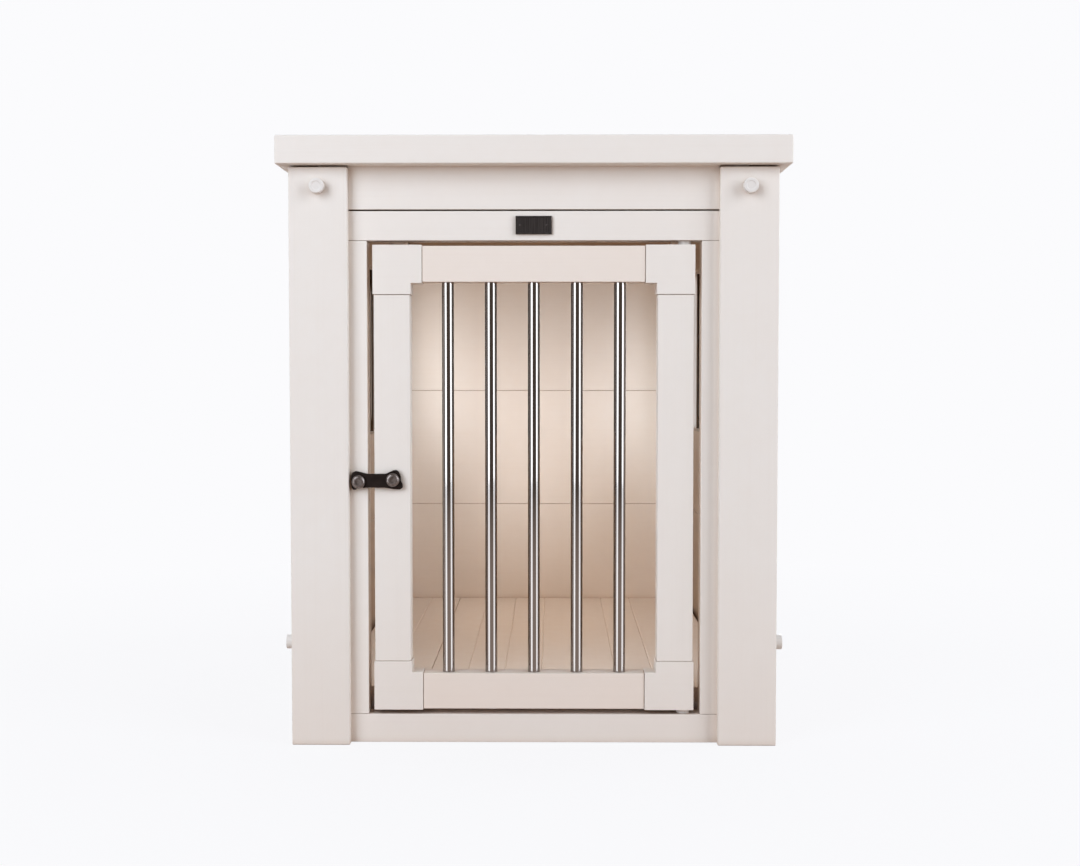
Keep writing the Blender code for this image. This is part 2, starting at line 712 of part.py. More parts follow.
def build_latch(hinge):
    dark = bpy.data.materials["latch_metal"]
    turned("latch_stud_door", (0, -1, 0), stud_profile(), LATCH_PIVOT, dark, hinge)
    turned("latch_stud_frame", (0, -1, 0), stud_profile(), LATCH_KEEPER, dark)
    build_link(dark, hinge)


def link_outline():
    """The link as seen from the front, about its pivot: a bar with a lobed plate at each end."""
    bar_top = 0.0057
    bar_bottom = -0.0073
    pivot_end = [
        (0.0066, -0.0091), (0.0094, -0.0071), (0.0091, -0.0041), (0.0074, -0.0010),
        (0.0074, 0.0030), (0.0056, 0.0078), (0.0030, 0.0096), (0.0002, 0.0090),
        (-0.0071, bar_top),
    ]
    hook_end = [
        (-0.0241, bar_top), (-0.0328, 0.0079), (-0.0353, 0.0084), (-0.0383, 0.0069),
        (-0.0394, 0.0044), (-0.0394, -0.0053), (-0.0388, -0.0078), (-0.0373, -0.0096),
        (-0.0350, -0.0092), (-0.0262, bar_bottom),
    ]
    return pivot_end + hook_end + [(-0.0071, bar_bottom), (-0.0005, -0.0086)]


def build_link(dark, hinge):
    x_pivot, face, z_pivot = LATCH_PIVOT
    front = face - LINK_STANDOFF - LINK_THICKNESS
    back = face - LINK_STANDOFF
    outline = [(x_pivot + x, z_pivot + z) for x, z in link_outline()]
    link = prism("latch_link", "Y", outline, front, back, dark, hinge, LATCH_PIVOT)
    round_edges(link, LINK_EDGE, 1)
    radius = STUD_NECK_RADIUS + CLEAR
    hole(link, (0, -1, 0), radius, 0, LINK_STANDOFF * 2 + LINK_THICKNESS, LATCH_PIVOT)
    slot = prism(
        "latch_slot_cutter", "Y",
        [(x_pivot + x, z_pivot + z) for x, z in slot_outline(radius)],
        front - LINK_STANDOFF, back + LINK_STANDOFF, dark, hinge, LATCH_PIVOT,
    )
    slot.rotation_euler.y = -KEEPER_DROP
    combine(link, slot, "DIFFERENCE")


def slot_outline(radius):
    """The hook's slot: an arc about the pivot, open below, with a round end over the stud."""
    steps = 6
    angles = [math.pi + SLOT_SWEEP * i / steps for i in range(steps + 1)]
    outer = STUD_SPACING + radius
    inner = STUD_SPACING - radius
    points = [(outer * math.cos(a), outer * math.sin(a)) for a in angles]
    points += [(inner * math.cos(a), inner * math.sin(a)) for a in reversed(angles)]
    half_turn = [math.pi * i / 8 for i in range(1, 8)]
    points += [(-STUD_SPACING + radius * math.cos(a), radius * math.sin(a)) for a in half_turn]
    return points


def main():
    clear_scene()
    white = make_material("composite_white", (0.79, 0.76, 0.73), 0.5)
    steel = make_material("spindle_steel", (0.55, 0.53, 0.51), 0.25, 1.0)
    make_material("latch_metal", (0.05, 0.04, 0.035), 0.4, 0.9)
    make_material("plaque_metal", (0.05, 0.045, 0.045), 0.5, 0.6)
    make_material("knob_plastic", (0.83, 0.81, 0.79), 0.35)
    make_material("bush_plastic", (0.80, 0.78, 0.75), 0.4)
    build_top(white)
    build_posts(white)
    build_front_frame(white)
    build_side(-1, white, steel)
    build_side(1, white, steel)
    build_back(white)
    build_floor(white)
    hinge = build_door(white, steel)
    build_latch(hinge)


main()
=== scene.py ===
"""Looks for the rabbit hutch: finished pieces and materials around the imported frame.

Metres, +Z up, in the frame's own axes: X to the right as one faces the door, Y from door to back.
Every place comes from the frame's nodes. Each visible piece stands for the node of its name.
"""

import math

import bmesh
import bpy
from mathutils import Matrix, Vector


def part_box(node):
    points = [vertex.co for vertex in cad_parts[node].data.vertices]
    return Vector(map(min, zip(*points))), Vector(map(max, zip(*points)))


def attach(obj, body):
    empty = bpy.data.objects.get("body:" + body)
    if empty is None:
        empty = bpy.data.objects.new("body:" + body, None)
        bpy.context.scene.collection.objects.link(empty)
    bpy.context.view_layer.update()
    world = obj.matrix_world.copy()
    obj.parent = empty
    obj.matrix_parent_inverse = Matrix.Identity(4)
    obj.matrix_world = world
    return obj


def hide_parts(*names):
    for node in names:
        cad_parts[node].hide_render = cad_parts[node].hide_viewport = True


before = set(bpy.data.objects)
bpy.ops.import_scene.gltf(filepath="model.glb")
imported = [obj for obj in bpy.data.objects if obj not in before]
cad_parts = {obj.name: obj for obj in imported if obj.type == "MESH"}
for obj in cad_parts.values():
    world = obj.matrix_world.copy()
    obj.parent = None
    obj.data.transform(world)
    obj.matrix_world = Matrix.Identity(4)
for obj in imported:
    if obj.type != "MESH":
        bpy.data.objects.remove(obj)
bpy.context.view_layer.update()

MM = 0.001
CABINET = "cabinet"
DOOR = "door"
LATCH = "latch"

# Rounding of edges, by kind of piece
TOP_ROUND = 1.3 * MM
TOP_PANEL_ROUND = 0.8 * MM
POST_ROUND = 1.1 * MM
RAIL_ROUND = 0.7 * MM
SIDE_ROUND = 1.1 * MM
PLANK_ROUND = 0.9 * MM
BACK_RAIL_ROUND = 0.8 * MM
DOOR_ROUND = 0.5 * MM
CORNER_ROUND = 0.45 * MM
FRAME_ROUND = 0.4 * MM
SPINDLE_ROUND = 0.4 * MM
METAL_ROUND = 0.5 * MM
GROOVE_ROUND = 0.25 * MM
TOP_GROOVE_ROUND = 0.3 * MM

# Grooves, gaps and laps
GROOVE_HALF = 1.0 * MM  # half the width of a V groove, and its depth
FLOOR_GROOVE_HALF = 0.9 * MM
HEADER_GROOVE = 1.4 * MM
SEAT_GAP = 0.3 * MM  # between boards that rest on each other
SPINDLE_CLEAR = 0.15 * MM  # round a spindle in its hole
TUCK = 0.6 * MM  # how far the front frame's ends run into the posts
OVERSHOOT = 1 * MM  # how far a cutter runs past what it cuts

PLANK_TONGUE = 4 * MM
BACK_PLANKS = (1, 2, 3, 4)
FLOOR_PLANKS = ("left", "centre", "right")
SIDE_SPINDLES = 11
UP = (0, 0, 1)

KEY_COLOUR = (0.922, 1.0, 1.092)
FILL_COLOUR = (1.31, 1.0, 0.77)
WALL_COLOUR = (0.92, 1.0, 1.04)
DOOR_COLOUR = (0.85, 1.0, 1.12)
SILL_COLOUR = (1.0, 0.90, 0.82)
BACKDROP = (0.965, 0.965, 0.982, 1)
ROOM = (1, 0.8, 0.66, 1)
# Painted shade for the faces turned to the cabin: the sides, the strip of back wall over the door, and
# under the top
INNER_SIDE_SHADE = (0.47, 0.36, 0.27, 1)
INNER_BACK_SHADE = (0.42, 0.30, 0.21, 1)
INNER_TOP_SHADE = (0.86, 0.79, 0.71, 1)
WARM_TONE = (1.0, 0.955, 0.925, 1)
CAMERA_LENS = 49.0  # millimetres
CAMERA_DISTANCE = 1.379  # in front of the front posts
CAMERA_SIDE = 0.018
CAMERA_HEIGHT = 0.3577
CAMERA_DOWN = 0.04437  # radians below level
CAMERA_TURN = 0.0087  # radians to the left


# Mesh tools ----------------------------------------------------------------------------------

def new_object(name, shape):
    bmesh.ops.recalc_face_normals(shape, faces=shape.faces)
    mesh = bpy.data.meshes.new(name)
    shape.to_mesh(mesh)
    shape.free()
    piece = bpy.data.objects.new(name, mesh)
    bpy.context.scene.collection.objects.link(piece)
    return piece


def settle(piece):
    """Replace a piece's mesh with what its modifiers make of it."""
    graph = bpy.context.evaluated_depsgraph_get()
    mesh = bpy.data.meshes.new_from_object(piece.evaluated_get(graph))
    piece.modifiers.clear()
    piece.data = mesh


def combine(piece, others, operation="DIFFERENCE"):
    """Cut other shapes out of a piece, or join them on, and drop the other shapes."""
    for other in others:
        boolean = piece.modifiers.new("join", "BOOLEAN")
        boolean.operation = operation
        boolean.solver = "EXACT"
        boolean.object = other
        bpy.context.view_layer.update()
        settle(piece)
        bpy.data.objects.remove(other)


def bevel_sharp(piece, width, segments=3, angle=40):
    """Round every edge sharper than the angle."""
    bevel = piece.modifiers.new("rounding", "BEVEL")
    bevel.width = width
    bevel.segments = segments
    bevel.limit_method = "ANGLE"
    bevel.angle_limit = math.radians(angle)
    bevel.use_clamp_overlap = True
    bpy.context.view_layer.update()
    settle(piece)


def smooth(piece, angle=32):
    """Shade smooth, with flat faces kept flat by weighted normals."""
    piece.data.shade_smooth()
    piece.data.set_sharp_from_angle(angle=math.radians(angle))
    weigh = piece.modifiers.new("weighted normals", "WEIGHTED_NORMAL")
    weigh.keep_sharp = True


def box_shape(name, low, high):
    low = Vector(low)
    size = Vector(high) - low
    shape = bmesh.new()
    bmesh.ops.create_cube(shape, size=1.0)
    bmesh.ops.scale(shape, vec=size, verts=shape.verts)
    bmesh.ops.translate(shape, vec=low + size / 2, verts=shape.verts)
    return new_object(name, shape)


def rounded_box(name, low, high, radius, segments=4):
    piece = box_shape(name, low, high)
    bevel_sharp(piece, radius, segments)
    return piece


def extrusion(name, axis, outline, low, high):
    """A closed outline, in the two axes other than this one, drawn out from low to high."""
    shape = bmesh.new()
    ends = []
    for level in (low, high):
        ends.append([
            shape.verts.new({"X": (level, u, v), "Y": (u, level, v), "Z": (u, v, level)}[axis])
            for u, v in outline
        ])
    first, last = ends
    for i in range(len(outline)):
        j = (i + 1) % len(outline)
        shape.faces.new((first[i], first[j], last[j], last[i]))
    shape.faces.new(first)
    shape.faces.new(last)
    return new_object(name, shape)


def turned(name, direction, profile, position, segments=48):
    """Spin a profile of (radius, height) points about an axis that runs along direction."""
    shape = bmesh.new()
    rings = []
    for radius, height in profile:
        if radius == 0:
            rings.append([shape.verts.new((0, 0, height))])
            continue
        rings.append([
            shape.verts.new((
                radius * math.cos(math.tau * i / segments),
                radius * math.sin(math.tau * i / segments), height,
            ))
            for i in range(segments)
        ])
    for below, above in zip(rings, rings[1:]):
        for i in range(segments):
            j = (i + 1) % segments
            corners = [below[i % len(below)], below[j % len(below)],
                       above[j % len(above)], above[i % len(above)]]
            shape.faces.new(list(dict.fromkeys(corners)))
    turn = Vector(UP).rotation_difference(Vector(direction)).to_matrix()
    bmesh.ops.rotate(shape, cent=(0, 0, 0), matrix=turn, verts=shape.verts)
    bmesh.ops.translate(shape, vec=Vector(position), verts=shape.verts)
    return new_object(name, shape)


def rounded_profile(points, radius, steps=4):
    """A turned or drawn profile with its inner corners rounded off."""
    rounded = [points[0]]
    for before, corner, after in zip(points, points[1:], points[2:]):
        corner = Vector(corner)
        to_before = Vector(before) - corner
        to_after = Vector(after) - corner
        reach = min(radius, to_before.length * 0.45, to_after.length * 0.45)
        start = corner + to_before.normalized() * reach
        end = corner + to_after.normalized() * reach
        for step in range(steps + 1):
            t = step / steps
            point = start.lerp(corner, t).lerp(corner.lerp(end, t), t)
            rounded.append(tuple(point))
    rounded.append(points[-1])
    return rounded


def rounded_outline(points, radius, steps=4):
    """A closed outline with every corner rounded off."""
    closed = [points[-1]] + list(points) + [points[0]]
    return rounded_profile(closed, radius, steps)[1:-1]


def rods(name, radius, ends, direction, segments=32):
    """Plain rods in one mesh: each from its first point, along direction, to its second."""
    shape = bmesh.new()
    for start, end in ends:
        length = (Vector(end) - Vector(start)).length
        middle = (Vector(start) + Vector(end)) / 2
        turn = Vector(UP).rotation_difference(Vector(direction)).to_matrix().to_4x4()
        bmesh.ops.create_cone(
            shape, cap_ends=True, segments=segments, radius1=radius, radius2=radius,
            depth=length, matrix=Matrix.Translation(middle) @ turn,
        )
    return new_object(name, shape)


def stand_for(piece, node, body, material):
    """Finish a piece: its name, material, body, slot and the node that it stands for."""
    piece.name = f"{node}_skin"
    piece.data.name = piece.name
    piece.data.materials.clear()
    piece.data.materials.append(material)
    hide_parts(node)
    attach(piece, body)
    return piece


# Materials -----------------------------------------------------------------------------------

# A colour Mix node's sockets, among those it holds for other kinds: factor and two colours
MIX_INPUTS = (0, 6, 7)
MIX_OUTPUT = 2


class Nodes:
    """A material's node tree, with short calls for the nodes used here."""

    def __init__(self, name):
        self.material = bpy.data.materials.new(name)
        self.material.use_nodes = True
        self.tree = self.material.node_tree
        self.shader = self.tree.nodes["Principled BSDF"]

    def add(self, kind, **settings):
        node = self.tree.nodes.new(kind)
        for key, value in settings.items():
            setattr(node, key, value)
        return node

    def link(self, source, target):
        self.tree.links.new(source, target)

    def coordinates(self, scale):
        texture = self.add("ShaderNodeTexCoord")
        mapping = self.add("ShaderNodeMapping")
        mapping.inputs["Scale"].default_value = scale
        self.link(texture.outputs["Object"], mapping.inputs["Vector"])
        return mapping.outputs["Vector"]

    def place(self, letter):
        """A point's place along one axis of the frame."""
        texture = self.add("ShaderNodeTexCoord")
        split = self.add("ShaderNodeSeparateXYZ")
        self.link(texture.outputs["Object"], split.inputs[0])
        return split.outputs[letter]

    def noise(self, vector, scale, detail=3.0, roughness=0.5):
        node = self.add("ShaderNodeTexNoise")
        node.inputs["Scale"].default_value = scale
        node.inputs["Detail"].default_value = detail
        node.inputs["Roughness"].default_value = roughness
        self.link(vector, node.inputs["Vector"])
        return node.outputs["Fac"]

    def span(self, value, low, high, start=0.3, end=0.7):
        """A ramp from low, where the value is at start, to high, where it is at end."""
        node = self.add("ShaderNodeMapRange")
        node.inputs["From Min"].default_value = start
        node.inputs["From Max"].default_value = end
        node.inputs["To Min"].default_value = low
        node.inputs["To Max"].default_value = high
        self.link(value, node.inputs["Value"])
        return node.outputs["Result"]

    def feed(self, sockets, values):
        """Link or set each socket, as its value is a socket or a number."""
        for socket, value in zip(sockets, values):
            if isinstance(value, bpy.types.NodeSocket):
                self.link(value, socket)
            else:
                socket.default_value = value

    def mix(self, factor, first, second, blend="MIX"):
        node = self.add("ShaderNodeMix", data_type="RGBA", blend_type=blend)
        self.feed([node.inputs[i] for i in MIX_INPUTS], (factor, first, second))
        return node.outputs[MIX_OUTPUT]

    def maths(self, operation, first, second):
        node = self.add("ShaderNodeMath", operation=operation)
        self.feed(node.inputs, (first, second))
        return node.outputs[0]

    def mix_shaders(self, factor, first, second):
        """Mix the shaders of two nodes; the result is a node too."""
        node = self.add("ShaderNodeMixShader")
        self.feed(node.inputs, (factor, first.outputs[0], second.outputs[0]))
        return node

    def coloured(self, kind, colour):
        node = self.add(kind)
        node.inputs["Color"].default_value = colour
        return node

    def bump(self, height, strength, distance, under=None):
        node = self.add("ShaderNodeBump")
        node.inputs["Strength"].default_value = strength
        node.inputs["Distance"].default_value = distance
        self.link(height, node.inputs["Height"])
        if under:
            self.link(under, node.inputs["Normal"])
        return node.outputs["Normal"]


def stretched(axis, along, across):
    """A texture scale that is stretched along one axis."""
    return tuple(along if letter == axis else across for letter in "XYZ")


def inner_shade_mask(nodes, limits):
    """Where painted shade goes: 1 on the faces turned to the cabin, 0 outside, a product of ramps along
    the axes.
    """
    mask = 1.0
    for letter, start, end in limits:
        distance = nodes.maths("ABSOLUTE", nodes.place(letter), 0)
        mask = nodes.maths("MULTIPLY", nodes.span(distance, 0, 1, start, end), mask)
    return mask


def composite(name, axis, shade_limits=(), inner=None, tone=None):
    """Satin off-white wood-polymer composite, with faint drawn grain along an axis.

    Where shade limits are given, the faces turned to the cabin take the inner colour: a painted shade,
    darker and browner, for the dim light in the cabin.
    A tone makes a batch of boards warmer.
    """
    nodes = Nodes(name)
    plain = nodes.coordinates((1, 1, 1))
    grain_space = nodes.coordinates(stretched(axis, 5, 420))
    cloud = nodes.noise(plain, 7, 2)
    mottle = nodes.noise(plain, 60, 4)
    speck = nodes.noise(plain, 1500, 2)
    grain = nodes.noise(grain_space, 1.0, 5, 0.6)
    colour = nodes.mix(nodes.span(cloud, 0, 1), (0.892, 0.848, 0.798, 1), (0.904, 0.868, 0.824, 1))
    colour = nodes.mix(nodes.span(mottle, 0, 0.35), colour, (0.874, 0.824, 0.768, 1))
    colour = nodes.mix(nodes.span(grain, 0.22, 0, 0.25, 0.5), colour, (0.846, 0.790, 0.728, 1))
    if shade_limits:
        # Painted shade on the faces turned to the cabin
        colour = nodes.mix(inner_shade_mask(nodes, shade_limits), colour, inner)
    if tone:
        colour = nodes.mix(1.0, colour, tone, "MULTIPLY")
    # Painted shade: darker and warmer towards the foot
    colour = painted_foot_shade(nodes, colour)
    # Painted shade in inner corners and narrow gaps, multiplied into the colour
    colour = nodes.mix(1.0, colour, painted_crevice_shade(nodes), "MULTIPLY")
    nodes.link(colour, nodes.shader.inputs["Base Color"])
    nodes.link(nodes.span(mottle, 0.40, 0.52), nodes.shader.inputs["Roughness"])
    relief = nodes.bump(grain, 0.10, 0.0002)
    relief = nodes.bump(speck, 0.10, 0.0001, relief)
    nodes.link(relief, nodes.shader.inputs["Normal"])
    nodes.shader.inputs["Specular IOR Level"].default_value = 0.4
    return nodes.material


def painted_foot_shade(nodes, colour):
    """Painted shade: a slightly darker, warmer colour towards the foot, standing in for the lights
    falling off low down and warm light bounced up from the floor; it fades out at the height below.
    """
    fade_height = 0.18
    foot_shade_colour = (0.965, 0.935, 0.915, 1)
    foot_shade_mask = nodes.span(nodes.place("Z"), 1, 0, 0, fade_height)
    return nodes.mix(foot_shade_mask, colour, foot_shade_colour, "MULTIPLY")


def painted_crevice_shade(nodes):
    """Painted shade from ambient occlusion: white in the open, a warm shade in inner corners, a dark
    brown shade in narrow gaps.
    """
    reach = 9 * MM
    occlusion = nodes.add("ShaderNodeAmbientOcclusion", samples=6)
    occlusion.inputs["Distance"].default_value = reach
    corner = nodes.span(occlusion.outputs["AO"], 1, 0, 0.45, 0.85)
    gap = nodes.span(occlusion.outputs["AO"], 1, 0, 0.07, 0.31)
    # Colours of the painted shade: none in the open, a warm shade in corners, dark brown in gaps
    white, corner_shade_colour, gap_shade_colour = (1, 1, 1, 1), (0.87, 0.82, 0.78, 1), (0.30, 0.17, 0.09, 1)
    return nodes.mix(gap, nodes.mix(corner, white, corner_shade_colour), gap_shade_colour)


def brushed_steel(name, shade_limits=()):
    """Polished stainless tube, with fine upright lines; where shade limits are given, a painted shade
    darkens the half turned to the cabin.
    """
    nodes = Nodes(name)
    lines_space = nodes.coordinates(stretched("Z", 8, 2600))
    plain = nodes.coordinates((1, 1, 1))
    lines = nodes.noise(lines_space, 1.0, 4, 0.65)
    smudge = nodes.noise(plain, 26, 3)
    colour = nodes.mix(nodes.span(lines, 0, 0.5), (0.355, 0.327, 0.309, 1), (0.290, 0.262, 0.247, 1))
    if shade_limits:
        # Painted shade on the half of each bar turned to the cabin
        colour = nodes.mix(inner_shade_mask(nodes, shade_limits), colour, (0.10, 0.07, 0.052, 1))
    nodes.link(colour, nodes.shader.inputs["Base Color"])
    nodes.link(nodes.span(smudge, 0.035, 0.075), nodes.shader.inputs["Roughness"])
    nodes.link(nodes.bump(lines, 0.03, 0.00003), nodes.shader.inputs["Normal"])
    nodes.shader.inputs["Metallic"].default_value = 1.0
    return nodes.material


def dark_coat():
    """Dark bronze coating with a slightly pebbled face."""
    nodes = Nodes("latch_bronze")
    plain = nodes.coordinates((1, 1, 1))
    pebble = nodes.noise(plain, 900, 3)
    patch = nodes.noise(plain, 90, 4)
    colour = nodes.mix(nodes.span(patch, 0, 1), (0.010, 0.006, 0.005, 1), (0.024, 0.015, 0.012, 1))
    nodes.link(colour, nodes.shader.inputs["Base Color"])
    nodes.link(nodes.span(patch, 0.34, 0.48), nodes.shader.inputs["Roughness"])
    nodes.link(nodes.bump(pebble, 0.25, 0.0002), nodes.shader.inputs["Normal"])
    nodes.shader.inputs["Specular IOR Level"].default_value = 0.15
    return nodes.material


def screw_metal():
    """Darkened steel of the latch's screw heads, worn lighter in patches."""
    nodes = Nodes("latch_screw")
    plain = nodes.coordinates((1, 1, 1))
    patch = nodes.noise(plain, 320, 4, 0.6)
    fine = nodes.noise(plain, 1800, 2)
    colour = nodes.mix(nodes.span(patch, 0, 1), (0.13, 0.105, 0.095, 1), (0.34, 0.30, 0.285, 1))
    nodes.link(colour, nodes.shader.inputs["Base Color"])
    nodes.link(nodes.span(patch, 0.42, 0.28), nodes.shader.inputs["Roughness"])
    nodes.link(nodes.bump(fine, 0.15, 0.0001), nodes.shader.inputs["Normal"])
    nodes.shader.inputs["Metallic"].default_value = 0.9
    return nodes.material


def plaque_metal():
    """Dark plaque with fine upright brushing."""
    nodes = Nodes("plaque_dark")
    lines = nodes.noise(nodes.coordinates((2400, 2400, 30)), 1.0, 3)
    colour = nodes.mix(nodes.span(lines, 0, 1), (0.026, 0.021, 0.020, 1), (0.075, 0.062, 0.058, 1))
    nodes.link(colour, nodes.shader.inputs["Base Color"])
    nodes.link(nodes.span(lines, 0.38, 0.52), nodes.shader.inputs["Roughness"])
    nodes.link(nodes.bump(lines, 0.2, 0.0001), nodes.shader.inputs["Normal"])
    nodes.shader.inputs["Metallic"].default_value = 0.7
    return nodes.material


def moulded_plastic(name, colour, shade, rough):
    """White moulded plastic: nearly even, with a soft gloss and a fine faint texture."""
    nodes = Nodes(name)
    plain = nodes.coordinates((1, 1, 1))
    cloud = nodes.noise(plain, 120, 2)
    fine = nodes.noise(plain, 2500, 2)
    nodes.link(nodes.mix(nodes.span(cloud, 0, 1), colour, shade), nodes.shader.inputs["Base Color"])
    nodes.link(nodes.span(cloud, rough, rough + 0.1), nodes.shader.inputs["Roughness"])
    nodes.link(nodes.bump(fine, 0.06, 0.0001), nodes.shader.inputs["Normal"])
    return nodes.material


def inner_shade_limits():
    """Where the painted shade on the pieces that close the cabin begins: their turn from outer to inner
    face.
    """
    panel_low, panel_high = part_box("side_panel_right")
    plank_low, plank_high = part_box("back_plank_4")
    top_low, top_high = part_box("top_panel")
    grille_low, grille_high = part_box("side_grille_right")
    grille_middle = (grille_low.x + grille_high.x) / 2
    grille_turn = 2 * MM
    door_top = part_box("frame_rail_top")[0].z
    # The back wall's painted shade covers only the strip above the door
    above_door = ("Z", door_top - 15 * MM, door_top + 20 * MM)
    return {
        "grille": [("X", grille_middle + grille_turn, grille_middle - grille_turn)],
        "side": [("X", panel_high.x, panel_low.x)],
        "back": [("Y", plank_high.y, plank_low.y), above_door],
        "top": [("Z", top_high.z, top_low.z)],
    }


CABIN_SHADE_LIMITS = inner_shade_limits()
# Finishes of the boards: the plain ones are named after the axis of their grain; the side, back and top
# ones have painted shade on the faces turned to the cabin
BOARDS = {
    "X": composite("composite_white_grain_x", "X"),
    "Y": composite("composite_white_grain_y", "Y"),
    "Z": composite("composite_white_grain_z", "Z"),
    "side": composite("composite_white_side_cabin_shade", "Y", CABIN_SHADE_LIMITS["side"], INNER_SIDE_SHADE),
    "back": composite("composite_white_back_cabin_shade", "X", CABIN_SHADE_LIMITS["back"], INNER_BACK_SHADE),
    "top": composite("composite_white_top_shaded_below", "Y", CABIN_SHADE_LIMITS["top"], INNER_TOP_SHADE),
    "warm": composite("composite_white_warm", "X", tone=WARM_TONE),
}
STEEL = brushed_steel("brushed_steel")
# The side grille's steel, with painted shade on the half turned to the cabin
GRILLE_STEEL_SHADED = brushed_steel("brushed_steel_side_cabin_shade", CABIN_SHADE_LIMITS["grille"])
BRONZE = dark_coat()
SCREW = screw_metal()
PLAQUE = plaque_metal()
KNOB = moulded_plastic("knob_white", (0.86, 0.84, 0.81, 1), (0.83, 0.80, 0.77, 1), 0.28)
BUSH = moulded_plastic("bush_white", (0.84, 0.81, 0.77, 1), (0.80, 0.76, 0.72, 1), 0.32)


def white_board(piece, node, body, finish):
    """Finish a board of the composite."""
    smooth(piece)
    return stand_for(piece, node, body, BOARDS[finish])


# Cabinet -------------------------------------------------------------------------------------

def plain_boards():
    """Boards with a plain rounded section: (node, rounding, finish)."""
    boards = [
        ("top_edge_rear", TOP_ROUND, "X"), ("top_edge_left", TOP_ROUND, "Y"),
        ("top_edge_right", TOP_ROUND, "Y"), ("top_cleat_left", RAIL_ROUND, "top"),
        ("top_cleat_right", RAIL_ROUND, "top"), ("floor_batten_front", RAIL_ROUND, "X"),
        ("frame_stile_left", FRAME_ROUND, "Z"), ("frame_stile_right", FRAME_ROUND, "Z"),
        ("side_rail_bottom_left", SIDE_ROUND, "side"), ("side_rail_bottom_right", SIDE_ROUND, "side"),
        ("post_rear_left", POST_ROUND, "Z"), ("post_rear_right", POST_ROUND, "Z"),
        ("post_front_left", POST_ROUND, "Z"), ("post_front_right", POST_ROUND, "Z"),
    ]
    for node, radius, finish in boards:
        low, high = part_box(node)
        if node == "frame_stile_left":
            low.x -= TUCK
        if node == "frame_stile_right":
            high.x += TUCK
        white_board(rounded_box(node, low, high, radius), node, CABINET, finish)


def build_top():
    build_top_edge()
    low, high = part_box("top_panel")
    width = high.x - low.x
    lines = [low.x + width * third / 3 for third in (1, 2)]
    outline = [(low.x, low.z), (high.x, low.z), (high.x, high.z - TOP_PANEL_ROUND),
               (high.x - TOP_PANEL_ROUND, high.z)]
    for line in reversed(lines):
        outline += groove(line, high.z)
    outline += [(low.x + TOP_PANEL_ROUND, high.z), (low.x, high.z - TOP_PANEL_ROUND)]
    panel = extrusion("top_panel", "Y", outline, low.y, high.y)
    bevel_sharp(panel, TOP_GROOVE_ROUND, 2)
    white_board(panel, "top_panel", CABINET, "top")


def build_top_edge():
    """The front edge of the top, with a shallow socket over the inner half of each post."""
    socket_reach = 24 * MM
    socket_depth = 8 * MM
    low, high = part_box("top_edge_front")
    edge = rounded_box("top_edge_front", low, high, TOP_ROUND, 5)
    cutters = []
    for post, outward in (("post_front_left", -1), ("post_front_right", 1)):
        post_low, post_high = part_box(post)
        middle = (post_low.x + post_high.x) / 2
        inner = post_high.x if outward < 0 else post_low.x
        cutters.append(box_shape(
            "socket", (min(inner, middle), post_low.y, low.z - socket_depth),
            (max(inner, middle), post_low.y + socket_reach, low.z + socket_depth),
        ))
    combine(edge, cutters)
    white_board(edge, "top_edge_front", CABINET, "X")


def groove(line, face, half=GROOVE_HALF):
    """A V groove down into an upper face, as outline points from right to left."""
    return [(line + half, face), (line, face - half), (line - half, face)]


def build_front():
    """The header with its tongue, the rails above and below the door, and the hinge bushes."""
    low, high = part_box("header_board")
    high.z += TUCK + RAIL_ROUND
    rail_low, rail_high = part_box("frame_rail_top")
    tongue = 6 * MM
    step = rail_high.z + HEADER_GROOVE
    header = extrusion(
        "header_board", "X",
        [(low.y, step), (high.y - tongue, step), (high.y - tongue, low.z), (high.y, low.z),
         (high.y, high.z), (low.y, high.z)],
        low.x - TUCK, high.x + TUCK,
    )
    bevel_sharp(header, RAIL_ROUND, 4)
    white_board(header, "header_board", CABINET, "X")
    rebate = high.y - tongue - SEAT_GAP
    shelf = low.z - SEAT_GAP
    rail = extrusion(
        "frame_rail_top", "X",
        [(rail_low.y, rail_low.z), (rail_high.y, rail_low.z), (rail_high.y, shelf),
         (rebate, shelf), (rebate, rail_high.z), (rail_low.y, rail_high.z)],
        rail_low.x - TUCK, rail_high.x + TUCK,
    )
    bevel_sharp(rail, FRAME_ROUND, 3)
    foot_low, foot_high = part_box("frame_rail_bottom")
    foot_low.x -= TUCK
    foot_high.x += TUCK
    foot = rounded_box("frame_rail_bottom", foot_low, foot_high, FRAME_ROUND)
    for node, seat, up in (("hinge_bush_top", rail, 1), ("hinge_bush_bottom", foot, -1)):
        build_bush(node, seat, up)
    white_board(rail, "frame_rail_top", CABINET, "X")
    white_board(foot, "frame_rail_bottom", CABINET, "X")


def build_bush(node, seat, up):
    """A sleeve between the door and the rail, with its hole bored in the rail."""
    wall = 1.7 * MM
    clearance = 0.2 * MM
    overshoot = 0.5 * MM
    low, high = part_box(node)
    centre = (low + high) / 2
    radius = (high.x - low.x) / 2
    half = (high.z - low.z) / 2
    bore = radius - wall
    reach = Vector((0, 0, half + overshoot))
    combine(seat, [rods("bush_hole", radius + clearance, [(centre - reach, centre + reach)], UP)])
    profile = [(bore, -half), (radius, -half), (radius, half), (bore, half), (bore, -half)]
    bush = turned(node, (0, 0, up), rounded_profile(profile, METAL_ROUND), centre)
    close_ring(bush)
    smooth(bush)
    stand_for(bush, node, CABINET, BUSH)


def close_ring(piece):
    """Join the first and last ring of a turned ring."""
    shape = bmesh.new()
    shape.from_mesh(piece.data)
    bmesh.ops.remove_doubles(shape, verts=shape.verts, dist=1e-6)
    bmesh.ops.recalc_face_normals(shape, faces=shape.faces)
    shape.to_mesh(piece.data)
    shape.free()


